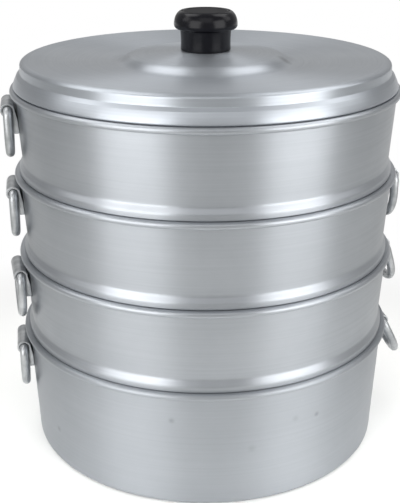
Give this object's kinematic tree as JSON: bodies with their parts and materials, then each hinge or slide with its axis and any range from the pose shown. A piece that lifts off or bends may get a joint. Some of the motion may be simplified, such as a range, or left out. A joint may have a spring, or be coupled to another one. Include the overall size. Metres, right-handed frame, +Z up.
{
  "type": "momo steamer",
  "caption": "Tall round stacked steamer in spun metal: a deep base pot, perforated tiers that nest rim on rim, small side drop handles and a shallow stepped lid with a black knob.",
  "frame": {"origin": "centre of the pot's underside, on the surface that the steamer stands on", "axes": "+Z up along the axis that all the shells are spun about; the pot's handles lie at -X and +X"},
  "size_m": [0.3148, 0.2866, 0.3285],
  "materials": {
    "spun_aluminium": "satin spun aluminium with fine turning lines",
    "handle_aluminium": "tumbled aluminium rod and strap",
    "rivet_aluminium": "bright formed rivet heads",
    "black_phenolic": "polished black moulded phenolic",
    "brass_insert": "turned brass",
    "zinc_steel": "zinc plated steel"
  },
  "bodies": {
    "pot": {"pot_shell": "spun_aluminium", "pot_left_bracket": "handle_aluminium", "pot_left_front_rivet": "rivet_aluminium", "pot_left_rear_rivet": "rivet_aluminium", "pot_right_bracket": "handle_aluminium", "pot_right_front_rivet": "rivet_aluminium", "pot_right_rear_rivet": "rivet_aluminium"},
    "lower_tier": {"lower_tier_shell": "spun_aluminium", "lower_tier_left_bracket": "handle_aluminium", "lower_tier_left_front_rivet": "rivet_aluminium", "lower_tier_left_rear_rivet": "rivet_aluminium", "lower_tier_right_bracket": "handle_aluminium", "lower_tier_right_front_rivet": "rivet_aluminium", "lower_tier_right_rear_rivet": "rivet_aluminium"},
    "middle_tier": {"middle_tier_shell": "spun_aluminium", "middle_tier_left_bracket": "handle_aluminium", "middle_tier_left_front_rivet": "rivet_aluminium", "middle_tier_left_rear_rivet": "rivet_aluminium", "middle_tier_right_bracket": "handle_aluminium", "middle_tier_right_front_rivet": "rivet_aluminium", "middle_tier_right_rear_rivet": "rivet_aluminium"},
    "upper_tier": {"upper_tier_shell": "spun_aluminium", "upper_tier_left_bracket": "handle_aluminium", "upper_tier_left_front_rivet": "rivet_aluminium", "upper_tier_left_rear_rivet": "rivet_aluminium", "upper_tier_right_bracket": "handle_aluminium", "upper_tier_right_front_rivet": "rivet_aluminium", "upper_tier_right_rear_rivet": "rivet_aluminium"},
    "lid": {"lid_shell": "spun_aluminium", "lid_knob": "black_phenolic", "knob_insert": "brass_insert", "knob_screw": "zinc_steel", "knob_washer": "zinc_steel"},
    "pot_left_handle": {"pot_left_handle": "handle_aluminium"},
    "pot_right_handle": {"pot_right_handle": "handle_aluminium"},
    "lower_tier_left_handle": {"lower_tier_left_handle": "handle_aluminium"},
    "lower_tier_right_handle": {"lower_tier_right_handle": "handle_aluminium"},
    "middle_tier_left_handle": {"middle_tier_left_handle": "handle_aluminium"},
    "middle_tier_right_handle": {"middle_tier_right_handle": "handle_aluminium"},
    "upper_tier_left_handle": {"upper_tier_left_handle": "handle_aluminium"},
    "upper_tier_right_handle": {"upper_tier_right_handle": "handle_aluminium"}
  },
  "joints": [
    {"name": "lower_tier_lift", "type": "slide", "parent": "pot", "child": "lower_tier", "axis": [0, 0, 1], "range_m": [0, 0.06]},
    {"name": "middle_tier_lift", "type": "slide", "parent": "lower_tier", "child": "middle_tier", "axis": [0, 0, 1], "range_m": [0, 0.06]},
    {"name": "upper_tier_lift", "type": "slide", "parent": "middle_tier", "child": "upper_tier", "axis": [0, 0, 1], "range_m": [0, 0.06]},
    {"name": "lid_lift", "type": "slide", "parent": "upper_tier", "child": "lid", "axis": [0, 0, 1], "range_m": [0, 0.06]},
    {"name": "pot_left_swing", "type": "hinge", "parent": "pot", "child": "pot_left_handle", "pos_m": [-0.1452, 0, 0.077], "axis": [0, 1, 0], "range_deg": [-6, 140]},
    {"name": "pot_right_swing", "type": "hinge", "parent": "pot", "child": "pot_right_handle", "pos_m": [0.1452, 0, 0.077], "axis": [0, -1, 0], "range_deg": [-33, 113]},
    {"name": "lower_tier_left_swing", "type": "hinge", "parent": "lower_tier", "child": "lower_tier_left_handle", "pos_m": [-0.14485, -0.01013, 0.1405], "axis": [-0.0698, 0.9976, 0], "range_deg": [-6, 140]},
    {"name": "lower_tier_right_swing", "type": "hinge", "parent": "lower_tier", "child": "lower_tier_right_handle", "pos_m": [0.14485, 0.01013, 0.1405], "axis": [0.0698, -0.9976, 0], "range_deg": [-23, 123]},
    {"name": "middle_tier_left_swing", "type": "hinge", "parent": "middle_tier", "child": "middle_tier_left_handle", "pos_m": [-0.1452, 0, 0.202], "axis": [0, 1, 0], "range_deg": [-6, 140]},
    {"name": "middle_tier_right_swing", "type": "hinge", "parent": "middle_tier", "child": "middle_tier_right_handle", "pos_m": [0.1452, 0, 0.202], "axis": [0, -1, 0], "range_deg": [-6, 140]},
    {"name": "upper_tier_left_swing", "type": "hinge", "parent": "upper_tier", "child": "upper_tier_left_handle", "pos_m": [-0.1452, 0, 0.2635], "axis": [0, 1, 0], "range_deg": [-6, 140]},
    {"name": "upper_tier_right_swing", "type": "hinge", "parent": "upper_tier", "child": "upper_tier_right_handle", "pos_m": [0.14299, 0.02521, 0.2635], "axis": [0.1736, -0.9848, 0], "range_deg": [-6, 140]}
  ]
}
